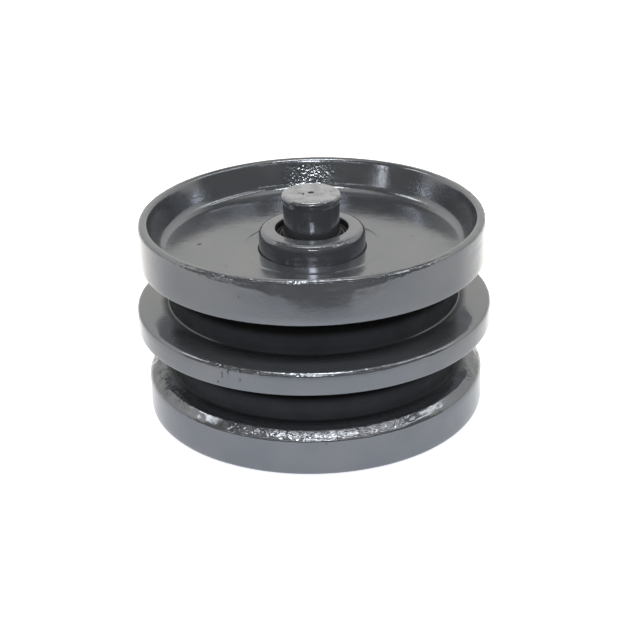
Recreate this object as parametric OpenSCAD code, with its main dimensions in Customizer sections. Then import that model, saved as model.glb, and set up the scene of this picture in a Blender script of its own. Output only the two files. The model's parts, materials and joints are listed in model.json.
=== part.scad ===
// Idler pulley with two belt grooves: a cast iron body that turns on two sealed ball
// bearings around a plain stub shaft. It stands on its bottom rim, with its axis along +Z
// and the origin at the centre of the bottom face. All sizes are in millimetres.

/* [Rims] */
// Outside diameter of the top rim
top_rim_d = 182; // [178:0.5:196]
// Height of the top rim, from the upper groove to the lip
top_rim_h = 23.4; // [21:0.1:28]
// How far the outside of the top rim leans in at the lip
top_rim_lean = 0.8; // [0.4:0.1:1.2]
// Height below the lip over which the top rim leans in
top_rim_lean_h = 9; // [6:0.5:12]
// Outside diameter of the middle rim
middle_rim_d = 188.8; // [180:0.2:204]
// Thickness of the middle rim at its edge
middle_rim_t = 12.2; // [9:0.1:18]
// Outside diameter of the bottom rim
bottom_rim_d = 180.4; // [174:0.2:196]
// Height of the bottom rim, from the base to the lower groove
bottom_rim_h = 23.8; // [20:0.1:30]
// Width of the bevel on the upper edge of the bottom rim
bevel_w = 4.4; // [3:0.1:7]
// Height of that bevel
bevel_h = 3.6; // [2:0.1:5]
// Rounding of the bottom rim's lower edge and the middle rim's upper edge
rim_edge_r = 2.3; // [1:0.1:3]
// Rounding of the other edges of the casting
cast_edge_r = 1.3; // [0.5:0.1:1.8]

/* [Grooves] */
// Diameter at the bottom of both grooves
groove_d = 153.8; // [150:0.2:158]
// Width of each groove at its mouth
groove_w = 23.3; // [18:0.1:30]
// Lean of each groove wall from square to the axis, in degrees
groove_wall_angle = 5.5; // [2:0.5:10]
// Fillet in the bottom corners of each groove
groove_fillet = 2; // [0.5:0.1:3]

/* [Recess] */
// Thickness of the lip around the recess
lip_t = 4; // [3:0.1:6]
// Depth of the recess at its wall
recess_wall_depth = 17.5; // [14:0.1:20]
// Depth of the recess at the hub
recess_hub_depth = 19.5; // [16:0.1:21]
// Lean of the recess wall from the axis, in degrees
recess_wall_angle = 16; // [8:1:24]
// Fillet between the recess wall and the web
recess_fillet = 5.5; // [3:0.5:9]
// Diameter of the machined face around the housing
hub_face_d = 72.8; // [66:0.2:80]
// Step from the web up to that face
hub_face_step = 0.2; // [0.1:0.1:1]
// Chamfer at the mouth of the hub's bore
bore_chamfer = 0.8; // [0.4:0.1:1.5]

/* [Underside] */
// Thickness of the web at the hub
web_t = 9.2; // [7:0.1:13]
// Wall behind the bottom of the grooves
groove_back_t = 7; // [5:0.5:9]
// Width of the face that the pulley stands on
foot_w = 10; // [7:0.5:13]
// Thickness of the flange under the lower groove
flange_t = 9; // [6:0.5:12]
// Diameter of the hub at its lower end
hub_d = 76; // [70:0.5:84]
// Lean of the walls on the underside, in degrees
cast_draft = 1.5; // [0.5:0.5:2.5]
// Fillet in the inside corners of the underside
cast_fillet = 5; // [2:0.5:6]

/* [Housing] */
// Outside diameter of the bearing housing
housing_d = 56.4; // [50:0.2:64]
// Wall of the housing around the bearings
housing_wall = 4.7; // [3:0.1:7]
// Height of the housing above the machined face
ring_h = 11.3; // [9:0.1:14]
// Rounding of the housing's outer shoulder
ring_shoulder_r = 3.6; // [1:0.1:4]
// Diameter of the housing's mouth
mouth_d = 38; // [37:0.2:42]
// Depth of the mouth, from the top of the housing to the bearing
mouth_depth = 8; // [6.5:0.1:10]
// Rounding of the mouth's edge
mouth_edge_r = 1; // [0.3:0.1:1.5]
// Length of the housing below its snap ring
housing_tail = 3.3; // [2.5:0.1:6]
// Thickness of the ledge in the hub that the housing stands on
ledge_t = 3; // [2:0.1:5]
// Width of that ledge
ledge_w = 2.7; // [2:0.1:4]

/* [Bearings] */
// Radial depth of both bearings, from the bore to the outside
bearing_depth = 11; // [10:0.5:12]
// Width of both bearings
bearing_w = 12; // [11:0.5:15]
// Wall of each race beside the balls
race_t = 3.5; // [3:0.1:4]
// Diameter of the balls
ball_d = 6.35; // [5.6:0.05:7]
// Number of balls in each bearing
ball_count = 10; // [7:1:11]
// Running clearance around each ball
ball_clearance = 0.12; // [0.05:0.01:0.2]
// Thickness of the cage's wall
cage_t = 2; // [1.2:0.1:2.6]
// Height of the cage beyond the balls, at each side
cage_margin = 1.1; // [0.6:0.1:1.4]
// Thickness of each shield
shield_t = 0.7; // [0.4:0.05:0.8]
// Depth of each shield's outer face below the side of the bearing
shield_inset = 0.15; // [0:0.05:0.3]
// Seat of each shield in the outer race
shield_seat = 0.8; // [0.4:0.1:1.2]
// Running clearance between each shield and the inner race
shield_clearance = 0.3; // [0.2:0.05:0.5]
// Length of the spacers between the bearings
spacer_l = 12; // [6:0.5:16]

/* [Shaft] */
// Diameter of the stub shaft
shaft_d = 30; // [27:0.5:31]
// Height of the stub above the housing
stub_h = 19.1; // [12:0.1:40]
// Rounding of the stub's end
stub_edge_r = 1.2; // [0.5:0.1:2]
// Diameter of the collar that stands on the upper bearing
collar_d = 32; // [31.5:0.1:33]
// Height of that collar
collar_h = 5.6; // [4:0.1:7]
// Diameter of the centre-drill mark
centre_mark_d = 3.2; // [2:0.1:5]
// Length of the shaft below its snap ring
shaft_tail = 1.6; // [1:0.1:2.5]

/* [Seal] */
// Depth of the seal below the top of the housing
seal_inset = 3.4; // [2.5:0.1:4]
// Height of the seal
seal_h = 4; // [2.5:0.1:4.4]
// Thickness of the seal's walls
seal_wall = 1; // [0.6:0.1:1.2]
// Running clearance between the seal's lip and the collar
seal_clearance = 0.25; // [0.15:0.05:0.4]

/* [Snap rings and cap] */
// Thickness of the snap ring in the housing
housing_clip_t = 1.75; // [1.2:0.05:2.2]
// Thickness of the snap ring on the shaft
shaft_clip_t = 1.2; // [1:0.05:1.5]
// Width of both snap rings outside their grooves
clip_w = 2; // [1.6:0.1:2.4]
// Depth of the snap rings' grooves
clip_groove = 1; // [0.6:0.1:1.3]
// Gap between the ends of each snap ring
clip_gap = 7; // [5:0.5:9]
// Radius of the ears at the ends of each snap ring
clip_ear_r = 1.7; // [1.4:0.1:1.9]
// Diameter of the plier hole in each ear
clip_hole_d = 1.6; // [1.2:0.1:2]
// Thickness of the support washer
washer_t = 2; // [1.8:0.1:3]
// Width of the support washer
washer_w = 3.4; // [2.5:0.1:3.8]
// Thickness of the end cap's sheet
cap_t = 1.2; // [0.8:0.1:1.4]
// Height of the end cap
cap_h = 2.6; // [2:0.1:3]

/* [Hidden] */

// Facets of round shapes and steps of each rounded corner
$fn = 96;
corner_steps = 7;
// How far a cutting shape reaches past the surface it cuts
cut_over = 1;

// Radii
top_rim_r = top_rim_d / 2;
middle_rim_r = middle_rim_d / 2;
bottom_rim_r = bottom_rim_d / 2;
groove_r = groove_d / 2;
lip_outer_r = top_rim_r - top_rim_lean;
lip_inner_r = lip_outer_r - lip_t;
lip_edge_r = 0.55 * lip_t;
groove_back_r = groove_r - groove_back_t;
foot_inner_r = bottom_rim_r - foot_w;
hub_r = hub_d / 2;
hub_face_r = hub_face_d / 2;
housing_r = housing_d / 2;
ledge_r = housing_r - ledge_w;
mouth_r = mouth_d / 2;
bearing_r = housing_r - housing_wall;
seat_r = bearing_r - bearing_depth;
inner_race_r = seat_r + race_t;
outer_race_r = bearing_r - race_t;
shield_r = outer_race_r + shield_seat;
pitch_r = (seat_r + bearing_r) / 2;
ball_r = ball_d / 2;
pocket_r = ball_r + ball_clearance;
shaft_r = shaft_d / 2;
collar_r = collar_d / 2;
seal_r = collar_r + seal_clearance;

// Heights, from the base up and then from the lip down
lower_groove_low = bottom_rim_h;
lower_groove_high = lower_groove_low + groove_w;
upper_groove_low = lower_groove_high + middle_rim_t;
upper_groove_high = upper_groove_low + groove_w;
lip_z = upper_groove_high + top_rim_h;
web_wall_z = lip_z - recess_wall_depth;
web_hub_z = lip_z - recess_hub_depth;
web_under_z = web_hub_z - web_t;
flange_under_z = bottom_rim_h - flange_t;
hub_face_z = web_hub_z + hub_face_step;
ring_z = hub_face_z + ring_h;
bearing_top_z = ring_z - mouth_depth;
upper_bearing_z = bearing_top_z - bearing_w;
spacer_z = upper_bearing_z - spacer_l;
lower_bearing_z = spacer_z - bearing_w;
housing_clip_z = lower_bearing_z - housing_clip_t;
housing_low_z = housing_clip_z - housing_tail;
hub_low_z = housing_low_z - ledge_t;
washer_z = lower_bearing_z - washer_t;
shaft_clip_z = washer_z - shaft_clip_t;
shaft_low_z = shaft_clip_z - shaft_tail;
collar_z = bearing_top_z + collar_h;
shaft_top_z = ring_z + stub_h;
seal_top_z = ring_z - seal_inset;
seal_low_z = seal_top_z - seal_h;
cage_h = ball_d + 2 * cage_margin;

// Finishes
enamel = "#4a4d51";
bearing_steel = "#b9bcc0";
spring_steel = "#5a5c60";
seal_rubber = "#1e1e20";

// Rise of a groove wall over a radial reach
function wall_rise(reach) = reach * tan(groove_wall_angle);

// Shift of a drafted wall over a height
function draft_shift(height) = height * tan(cast_draft);

// Arc that rounds the corner at b, between its neighbours a and c
function rounded_corner(a, b, c, radius) =
    let (
        to_a = (a - b) / norm(a - b),
        to_c = (c - b) / norm(c - b),
        half = acos(to_a * to_c) / 2,
        centre = b + (to_a + to_c) / norm(to_a + to_c) * radius / sin(half),
        first = b + to_a * radius / tan(half) - centre,
        last = b + to_c * radius / tan(half) - centre,
        start = atan2(first.y, first.x),
        turn = atan2(last.y, last.x) - start,
        sweep = turn > 180 ? turn - 360 : turn < -180 ? turn + 360 : turn
    )
    [for (step = [0 : corner_steps])
        let (angle = start + sweep * step / corner_steps)
        centre + radius * [cos(angle), sin(angle)]];

// Outline through points [radius, height, rounding]
function rounded_outline(points) =
    let (count = len(points), spots = [for (point = points) [point.x, point.y]])
    [for (i = [0 : count - 1])
        each points[i].z > 0
            ? rounded_corner(spots[(i + count - 1) % count], spots[i], spots[(i + 1) % count], points[i].z)
            : [spots[i]]];

// Solid turned about the axis from an outline
module turned(points) {
    rotate_extrude() polygon(rounded_outline(points));
}

// Plain ring that stands on a height
module ring(inner_r, outer_r, low_z, height) {
    translate([0, 0, low_z]) difference() {
        cylinder(r = outer_r, h = height);
        translate([0, 0, -cut_over]) cylinder(r = inner_r, h = height + 2 * cut_over);
    }
}

// Casting with its rims, grooves, recess, web, hub and hollow underside
module pulley_body() {
    bevel_inner_r = bottom_rim_r - bevel_w;
    wall_foot_r = lip_inner_r - recess_wall_depth * tan(recess_wall_angle);
    back_top_r = groove_back_r - draft_shift(web_under_z - flange_under_z);
    foot_top_r = foot_inner_r - draft_shift(flange_under_z);
    hub_top_r = hub_r + draft_shift(web_under_z - hub_low_z);
    color(enamel) turned([
        [bottom_rim_r, 0, rim_edge_r],
        [bottom_rim_r, bottom_rim_h - bevel_h, cast_edge_r],
        [bevel_inner_r, bottom_rim_h, cast_edge_r],
        [groove_r, lower_groove_low + wall_rise(bevel_inner_r - groove_r), groove_fillet],
        [groove_r, lower_groove_high - wall_rise(middle_rim_r - groove_r), groove_fillet],
        [middle_rim_r, lower_groove_high, cast_edge_r],
        [middle_rim_r, upper_groove_low, rim_edge_r],
        [groove_r, upper_groove_low + wall_rise(middle_rim_r - groove_r), groove_fillet],
        [groove_r, upper_groove_high - wall_rise(top_rim_r - groove_r), groove_fillet],
        [top_rim_r, upper_groove_high, cast_edge_r],
        [top_rim_r, lip_z - top_rim_lean_h, 0],
        [lip_outer_r, lip_z, lip_edge_r],
        [lip_inner_r, lip_z, lip_edge_r],
        [wall_foot_r, web_wall_z, recess_fillet],
        [hub_face_r, web_hub_z, 0],
        [hub_face_r, hub_face_z, 0],
        [housing_r + bore_chamfer, hub_face_z, 0],
        [housing_r, hub_face_z - bore_chamfer, 0],
        [housing_r, housing_low_z, 0],
        [ledge_r, housing_low_z, 0],
        [ledge_r, hub_low_z, 0],
        [hub_r, hub_low_z, cast_edge_r],
        [hub_top_r, web_under_z, cast_fillet],
        [back_top_r, web_under_z, cast_fillet],
        [groove_back_r, flange_under_z, cast_fillet],
        [foot_top_r, flange_under_z, cast_fillet],
        [foot_inner_r, 0, cast_edge_r]
    ]);
}

// Turned sleeve whose top shows as the raised ring around the shaft
module bearing_housing() {
    clip_groove_r = bearing_r + clip_groove;
    color(enamel) turned([
        [bearing_r, housing_low_z, 0],
        [housing_r, housing_low_z, 0],
        [housing_r, ring_z, ring_shoulder_r],
        [mouth_r, ring_z, mouth_edge_r],
        [mouth_r, bearing_top_z, 0],
        [bearing_r, bearing_top_z, 0],
        [bearing_r, lower_bearing_z, 0],
        [clip_groove_r, lower_bearing_z, 0],
        [clip_groove_r, housing_clip_z, 0],
        [bearing_r, housing_clip_z, 0]
    ]);
}

// Stub shaft with its collar, bearing seat, snap ring groove and centre-drill mark
module shaft() {
    clip_groove_r = seat_r - clip_groove;
    centre_mark_r = centre_mark_d / 2;
    color(enamel) turned([
        [0, shaft_low_z, 0],
        [clip_groove_r, shaft_low_z, 0],
        [seat_r, shaft_low_z + clip_groove, 0],
        [seat_r, shaft_clip_z, 0],
        [clip_groove_r, shaft_clip_z, 0],
        [clip_groove_r, washer_z, 0],
        [seat_r, washer_z, 0],
        [seat_r, bearing_top_z, 0],
        [collar_r, bearing_top_z, 0],
        [collar_r, collar_z, 0],
        [shaft_r, collar_z, 0],
        [shaft_r, shaft_top_z, stub_edge_r],
        [centre_mark_r, shaft_top_z, 0],
        [0, shaft_top_z - centre_mark_r, 0]
    ]);
}

// Rubber seal in the housing's mouth, with a lip that follows the collar
module dust_seal() {
    floor_z = seal_low_z + seal_wall;
    color(seal_rubber) turned([
        [seal_r, seal_low_z, 0],
        [mouth_r, seal_low_z, 0],
        [mouth_r, seal_top_z, 0],
        [mouth_r - seal_wall, seal_top_z, 0],
        [mouth_r - seal_wall, floor_z, 0],
        [seal_r + seal_wall, floor_z, 0],
        [seal_r + seal_wall, seal_top_z, 0],
        [seal_r, seal_top_z, 0]
    ]);
}

// Track that the balls run in, for a bearing that stands on a height
module ball_track(low_z) {
    translate([0, 0, low_z + bearing_w / 2]) rotate_extrude() translate([pitch_r, 0]) circle(r = pocket_r);
}

// Spheres at the places of the balls
module ball_row(low_z, radius) {
    for (i = [0 : ball_count - 1])
        rotate(360 * i / ball_count) translate([pitch_r, 0, low_z + bearing_w / 2]) sphere(r = radius);
}

// Outer race with a seat for a shield at each side
module outer_race(low_z) {
    seat_depth = shield_inset + shield_t;
    color(bearing_steel) difference() {
        ring(outer_race_r, bearing_r, low_z, bearing_w);
        ball_track(low_z);
        for (cut_z = [low_z - cut_over, low_z + bearing_w - seat_depth])
            translate([0, 0, cut_z]) cylinder(r = shield_r, h = seat_depth + cut_over);
    }
}

// Inner race
module inner_race(low_z) {
    color(bearing_steel) difference() {
        ring(seat_r, inner_race_r, low_z, bearing_w);
        ball_track(low_z);
    }
}

// Cage with a round pocket for each ball
module cage(low_z) {
    color(bearing_steel) difference() {
        ring(pitch_r - cage_t / 2, pitch_r + cage_t / 2, low_z + (bearing_w - cage_h) / 2, cage_h);
        ball_row(low_z, pocket_r);
    }
}

// Thin shield that stands on a height
module shield(low_z) {
    color(seal_rubber) ring(inner_race_r + shield_clearance, shield_r, low_z, shield_t);
}

// Snap ring with an ear at each end, on the side of the ring that ear_place gives
module snap_ring(inner_r, outer_r, ear_place, low_z, thickness) {
    ear_y = (clip_gap + clip_ear_r) / 2;
    translate([0, 0, low_z]) difference() {
        union() {
            ring(inner_r, outer_r, 0, thickness);
            for (side = [-1, 1])
                translate([ear_place, side * ear_y, 0]) cylinder(r = clip_ear_r, h = thickness);
        }
        translate([0, -clip_gap / 2, -cut_over]) cube([2 * bearing_r, clip_gap, thickness + 2 * cut_over]);
        for (side = [-1, 1])
            translate([ear_place, side * (ear_y + clip_hole_d / 4), -cut_over])
                cylinder(d = clip_hole_d, h = thickness + 2 * cut_over);
    }
}

module upper_outer_race() { outer_race(upper_bearing_z); }
module upper_inner_race() { inner_race(upper_bearing_z); }
module upper_balls() { color(bearing_steel) ball_row(upper_bearing_z, ball_r); }
module upper_cage() { cage(upper_bearing_z); }
module upper_bearing_top_shield() { shield(upper_bearing_z + bearing_w - shield_inset - shield_t); }
module upper_bearing_bottom_shield() { shield(upper_bearing_z + shield_inset); }

module lower_outer_race() { outer_race(lower_bearing_z); }
module lower_inner_race() { inner_race(lower_bearing_z); }
module lower_balls() { color(bearing_steel) ball_row(lower_bearing_z, ball_r); }
module lower_cage() { cage(lower_bearing_z); }
module lower_bearing_top_shield() { shield(lower_bearing_z + bearing_w - shield_inset - shield_t); }
module lower_bearing_bottom_shield() { shield(lower_bearing_z + shield_inset); }

// Spacers between the two outer races and the two inner races
module outer_spacer() { color(spring_steel) ring(outer_race_r, bearing_r, spacer_z, spacer_l); }
module inner_spacer() { color(spring_steel) ring(seat_r, inner_race_r, spacer_z, spacer_l); }

// Snap ring in the housing, with its ears on the inside
module housing_circlip() {
    inner_r = bearing_r - clip_w;
    color(spring_steel)
        snap_ring(inner_r, bearing_r + clip_groove, inner_r - clip_ear_r / 2, housing_clip_z, housing_clip_t);
}

// Snap ring on the shaft, with its ears on the outside
module shaft_circlip() {
    outer_r = seat_r + clip_w;
    color(spring_steel)
        snap_ring(seat_r - clip_groove, outer_r, outer_r, shaft_clip_z, shaft_clip_t);
}

// Washer between the lower bearing and the shaft's snap ring
module support_washer() { color(spring_steel) ring(seat_r, seat_r + washer_w, washer_z, washer_t); }

// Pressed cap in the ledge under the housing
module end_cap() {
    cap_top_z = hub_low_z + cap_h;
    color(enamel) turned([
        [0, hub_low_z, 0],
        [ledge_r, hub_low_z, cap_t],
        [ledge_r, cap_top_z, 0],
        [ledge_r - cap_t, cap_top_z, 0],
        [ledge_r - cap_t, hub_low_z + cap_t, 0],
        [0, hub_low_z + cap_t, 0]
    ]);
}

pulley_body();
bearing_housing();
shaft();
dust_seal();
upper_outer_race();
upper_inner_race();
upper_balls();
upper_cage();
upper_bearing_top_shield();
upper_bearing_bottom_shield();
lower_outer_race();
lower_inner_race();
lower_balls();
lower_cage();
lower_bearing_top_shield();
lower_bearing_bottom_shield();
outer_spacer();
inner_spacer();
housing_circlip();
shaft_circlip();
support_washer();
end_cap();
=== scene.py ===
"""Looks of a cast idler pulley: gloss grey enamel over a rough casting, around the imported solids."""

import json
import math

import bmesh
import bpy
from bpy.props import FloatProperty, FloatVectorProperty, IntProperty, PointerProperty
from mathutils import Matrix, Vector, noise


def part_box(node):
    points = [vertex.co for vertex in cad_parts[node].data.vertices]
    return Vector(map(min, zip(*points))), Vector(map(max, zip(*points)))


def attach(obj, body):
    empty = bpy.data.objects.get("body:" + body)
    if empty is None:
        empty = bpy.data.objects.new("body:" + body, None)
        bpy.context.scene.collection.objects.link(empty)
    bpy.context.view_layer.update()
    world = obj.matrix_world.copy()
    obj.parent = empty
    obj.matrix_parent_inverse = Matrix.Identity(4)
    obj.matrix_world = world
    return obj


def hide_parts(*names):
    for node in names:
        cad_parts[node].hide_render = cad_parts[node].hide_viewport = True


bl_info = {
    "name": "Idler Pulley Looks",
    "version": (1, 0, 0),
    "blender": (4, 2, 0),
    "location": "View3D > Sidebar > Pulley",
    "description": "Makes the painted casting, ring, shaft, seal and cap of an idler pulley",
    "category": "Object",
}

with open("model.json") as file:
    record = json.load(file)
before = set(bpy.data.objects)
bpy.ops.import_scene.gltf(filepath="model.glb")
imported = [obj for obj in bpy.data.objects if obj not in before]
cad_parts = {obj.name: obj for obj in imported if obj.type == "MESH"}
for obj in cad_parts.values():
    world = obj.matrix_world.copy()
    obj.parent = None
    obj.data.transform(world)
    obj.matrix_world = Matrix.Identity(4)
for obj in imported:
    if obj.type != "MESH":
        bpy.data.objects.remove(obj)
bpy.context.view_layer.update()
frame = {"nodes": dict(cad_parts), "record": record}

MM = 0.001
AXIS = Vector((0, 0, 1))
# Angle that each step of a rounded corner turns
ROUND_STEP = math.radians(20)
# Lower edge of the paint that hangs from the lip: degrees from the front, and drop in millimetres
CURTAIN = (
    (-180, 4), (-160, 3), (-140, 7.5), (-120, 5.5), (-95, 3.5), (-70, 2), (-50, 1.5), (-40, 2.5),
    (-31, 3.8), (-21, 4.5), (-17, 5.5), (-13, 7), (-10, 6.8), (-7, 8.8), (-4, 10.8), (0, 12.2),
    (6, 12.8), (10, 12.5), (12, 6.5), (14, 5), (19, 5), (23, 3.8), (32, 2.2), (42, 1.2), (60, 2),
    (90, 3.5), (120, 6), (135, 3), (160, 5), (180, 4),
)
# Places of the drips on the middle rim, in degrees from the front
DRIPS = (-29, -27, -23)
# Places where the paint of the front edges is broken, in degrees from the front, each with its reach
EDGE_CHIPS = ((-27, 4), (-18, 2.5), (-5, 5), (20, 2))
# Place of a chip in the paint of the web, in the plan
WEB_CHIP = Vector((-60, 5.4)) * MM
# Angle between faces above which an edge stays sharp
SHARP = math.radians(38)


def length(name, about, millimetres):
    """A size in the sidebar, stated in millimetres."""
    return FloatProperty(name=name, description=about, default=millimetres * MM, unit="LENGTH", precision=5)


def slope(name, about, degrees):
    """An angle in the sidebar, stated in degrees."""
    return FloatProperty(name=name, description=about, default=math.radians(degrees), subtype="ANGLE")


def share(name, about, value):
    """A number between nothing and all in the sidebar."""
    return FloatProperty(name=name, description=about, default=value, min=0, max=1, subtype="FACTOR")


def brightness(name, about, value):
    """A strength of light in the sidebar."""
    return FloatProperty(name=name, description=about, default=value, min=0)


def point(name, about, x, y, z):
    """A place in the sidebar, in metres."""
    return FloatVectorProperty(
        name=name, description=about, default=(x, y, z), size=3, subtype="TRANSLATION"
    )


def count(name, about, value):
    """A whole number in the sidebar."""
    return IntProperty(name=name, description=about, default=value, min=3)


def tint(name, about, red, green, blue):
    """A colour in the sidebar."""
    return FloatVectorProperty(
        name=name, description=about, default=(red, green, blue), min=0, max=1, size=3, subtype="COLOR"
    )


class CastingSizes(bpy.types.PropertyGroup):
    """Sizes of the casting, which repeat those of its solid."""

    top_rim_radius: length("Top rim", "Radius of the top rim", 91)
    top_rim_lean: length("Lean of the top rim", "How far the top rim leans in at the lip", 0.8)
    top_rim_lean_height: length("Height of the lean", "Height over which the top rim leans in", 9)
    bottom_rim_radius: length("Bottom rim", "Radius of the bottom rim", 90.2)
    bottom_rim_height: length("Bottom rim height", "Height of the bottom rim", 23.8)
    bevel_width: length("Bevel width", "Width of the rough bevel on the bottom rim", 4.4)
    bevel_height: length("Bevel height", "Height of the rough bevel on the bottom rim", 3.6)
    bevel_rounding: length("Bevel rounding", "Rounding of the bevel's lower edge", 3)
    groove_radius: length("Groove", "Radius at the bottom of both grooves", 76.9)
    groove_width: length("Groove width", "Width of each groove at its mouth", 23.3)
    middle_rim_thickness: length("Middle rim", "Thickness of the middle rim", 12.2)
    lip_thickness: length("Lip", "Thickness of the lip", 4)
    recess_wall_depth: length("Recess at the wall", "Depth of the recess at its wall", 17.5)
    recess_hub_depth: length("Recess at the hub", "Depth of the recess at the hub", 19.5)
    recess_lean: slope("Recess lean", "Lean of the recess wall from the axis", 16)
    groove_lean: slope("Groove lean", "Lean of the groove walls from square to the axis", 5.5)
    cast_draft: slope("Draft", "Draft of the cast underside", 1.5)
    hub_face_radius: length("Hub face", "Radius of the machined face around the ring", 36.4)
    hub_face_step: length("Hub face step", "Step from the web up to the painted machined face", 0.15)
    hub_face_slope: length("Hub face slope", "Width of the slope from the web up to that face", 1.5)
    hub_face_rounding: length("Hub face rounding", "Rounding of the slope's two edges", 5)
    bore_chamfer: length("Bore chamfer", "Chamfer in the paint at the mouth of the hub's bore", 0.7)
    web_thickness: length("Web", "Thickness of the web at the hub", 9.2)
    groove_back: length("Groove wall", "Wall behind the bottom of the grooves", 7)
    foot_width: length("Foot", "Width of the face that the pulley stands on", 10)
    flange_thickness: length("Flange", "Thickness of the flange under the lower groove", 9)
    hub_radius: length("Hub", "Radius of the hub at its lower end", 38)
    rim_rounding: length("Rim rounding", "Rounding of the rims' exposed edges", 2.3)
    edge_rounding: length("Edge rounding", "Rounding of the casting's other edges", 1.3)
    groove_fillet: length("Groove fillet", "Fillet in the bottom corners of the grooves", 2)
    recess_fillet: length("Recess fillet", "Fillet between the recess wall and the web", 5.5)
    cast_fillet: length("Cast fillet", "Fillet in the corners of the underside", 5)
    turn_steps: count("Steps around", "Faces around the casting", 360)


class ShaftSizes(bpy.types.PropertyGroup):
    """Sizes of the stub shaft, its ring, its seal and the cap below."""

    shaft_radius: length("Shaft", "Radius of the stub shaft", 15)
    burr_radius: length("Burred end", "Radius of the hammered end of the shaft", 16)
    burr_height: length("Burr height", "Height of the hammered end", 5)
    collar_radius: length("Collar", "Radius of the collar below the ring's top", 16)
    collar_height: length("Collar height", "Height of the collar", 5.6)
    seat_radius: length("Seat", "Radius of the bearing seat", 12.5)
    mark_radius: length("Centre mark", "Radius of the centre-drill mark", 1.6)
    ring_shoulder: length("Ring shoulder", "Rounding of the ring's shoulder", 3.6)
    mouth_radius: length("Ring mouth", "Radius of the ring's mouth", 19)
    mouth_depth: length("Mouth depth", "Depth of the mouth down to the bearing", 8)
    bearing_radius: length("Bearing bore", "Radius of the bore for the bearings", 23.5)
    clip_groove_depth: length("Clip groove", "Depth of the snap ring's groove", 1)
    seal_wall: length("Seal wall", "Thickness of the seal's walls", 1)
    cap_sheet: length("Cap sheet", "Thickness of the end cap", 1.2)


class PaintLook(bpy.types.PropertyGroup):
    """Colours and roughness of the finishes, and of the painted shade and painted sheen."""

    enamel: tint("Enamel", "Colour of the grey enamel", 0.147, 0.158, 0.177)
    enamel_pale: tint("Pale enamel", "Colour of thin or dusty enamel", 0.18, 0.185, 0.195)
    # Also painted as shade in the ring's mouth and on the shaft below the ring's top.
    enamel_dull_and_shade: tint("Dull enamel", "Colour of the thin enamel in the grooves", 0.029, 0.032, 0.037)
    # Also painted as a sheen on the bevel's front, where light glints.
    enamel_bruised_and_sheen: tint("Bruised enamel", "Colour of the enamel on the shaft's end", 0.345, 0.355, 0.39)
    dirt: tint("Dirt", "Colour of the specks on the ledges", 0.006, 0.006, 0.007)
    chip: tint("Chips", "Colour of the small chips in the enamel", 0.012, 0.012, 0.013)
    # Painted shade: the near-black colour painted high up in the grooves, close under the rims, where
    # shadow falls.
    painted_groove_shade: tint("Painted groove shade", "Colour of the grooves close under the rims", 0.002, 0.002, 0.002)
    enamel_shine: share("Enamel shine", "Share of metal flake in the enamel", 0.75)
    enamel_roughness: share("Enamel roughness", "Roughness of the enamel", 0.15)
    bright_steel: tint("Bright steel", "Colour of ground bearing steel", 0.62, 0.63, 0.65)
    dark_steel: tint("Dark steel", "Colour of phosphated spring steel", 0.16, 0.16, 0.17)
    rubber: tint("Rubber", "Colour of the seals", 0.018, 0.018, 0.019)


class StageLook(bpy.types.PropertyGroup):
    """Camera, floor and light."""

    camera_place: point("Camera", "Place of the camera", 0, -0.722, 0.3836)
    camera_aim: point("Aim", "Point that the camera looks at", -0.0001, 0, 0.0471)
    camera_roll: slope("Roll", "Tilt of the camera about its view", -1.56)
    lens: FloatProperty(name="Lens", description="Focal length of the camera", default=84.5, unit="CAMERA")
    floor_glow: brightness("Floor light", "Brightness of the floor", 0.68)
    room_light: brightness("Room light", "Brightness of the pale room", 1.06)
    ceiling_light: brightness("Ceiling light", "Brightness of the ceiling", 1.2)


def draw_outline(bm, corners, closed):
    """Joins (radius, height, rounding) corners into a rounded outline in the XZ plane."""
    spots = [Vector((radius, 0, height)) for radius, height, rounding in corners]
    made = [bm.verts.new(spot) for spot in spots]
    last = len(made) if closed else len(made) - 1
    for i in range(last):
        bm.edges.new((made[i], made[(i + 1) % len(made)]))
    for i, (radius, height, rounding) in enumerate(corners):
        if rounding > 0:
            before, after = spots[i - 1] - spots[i], spots[(i + 1) % len(spots)] - spots[i]
            half = before.angle(after) / 2
            steps = max(2, round((math.pi - 2 * half) / ROUND_STEP))
            bmesh.ops.bevel(
                bm, geom=[made[i]], offset=rounding / math.tan(half), offset_type="OFFSET", segments=steps,
                profile=0.5, affect="VERTICES", material=-1,
            )


def divide_outline(bm, step_at):
    """Cuts each straight run of an outline into steps of the length that its middle asks for."""
    for edge in list(bm.edges):
        middle = (edge.verts[0].co + edge.verts[1].co) / 2
        cuts = int(edge.calc_length() / step_at(middle))
        if cuts > 0:
            bmesh.ops.subdivide_edges(bm, edges=[edge], cuts=cuts)


def turn_outline(bm, steps):
    """Spins the outline once about the axis and closes the poles."""
    outline = bm.verts[:] + bm.edges[:]
    bmesh.ops.spin(
        bm, geom=outline, cent=(0, 0, 0), axis=AXIS, angle=math.tau, steps=steps, use_merge=True
    )
    bmesh.ops.remove_doubles(bm, verts=bm.verts, dist=0.002 * MM)
    bmesh.ops.recalc_face_normals(bm, faces=bm.faces)
    for face in bm.faces:
        face.smooth = True


def turned(corners, steps, step_at, closed=True):
    """A bmesh turned about the axis from (radius, height, rounding) corners."""
    bm = bmesh.new()
    draw_outline(bm, corners, closed)
    divide_outline(bm, step_at)
    turn_outline(bm, steps)
    return bm


def cut_finer(bm, wanted):
    """Cuts the faces whose middles are wanted into three each way."""
    edges = {edge for face in bm.faces if wanted(face.calc_center_median()) for edge in face.edges}
    bmesh.ops.subdivide_edges(bm, edges=list(edges), cuts=2, use_grid_fill=True)


def radius_of(co):
    """Distance of a point from the axis."""
    return math.hypot(co.x, co.y)


def turn_of(co):
    """Angle of a point about the axis in degrees, from the front and positive to the right."""
    return math.degrees(math.atan2(co.x, -co.y))


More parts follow.
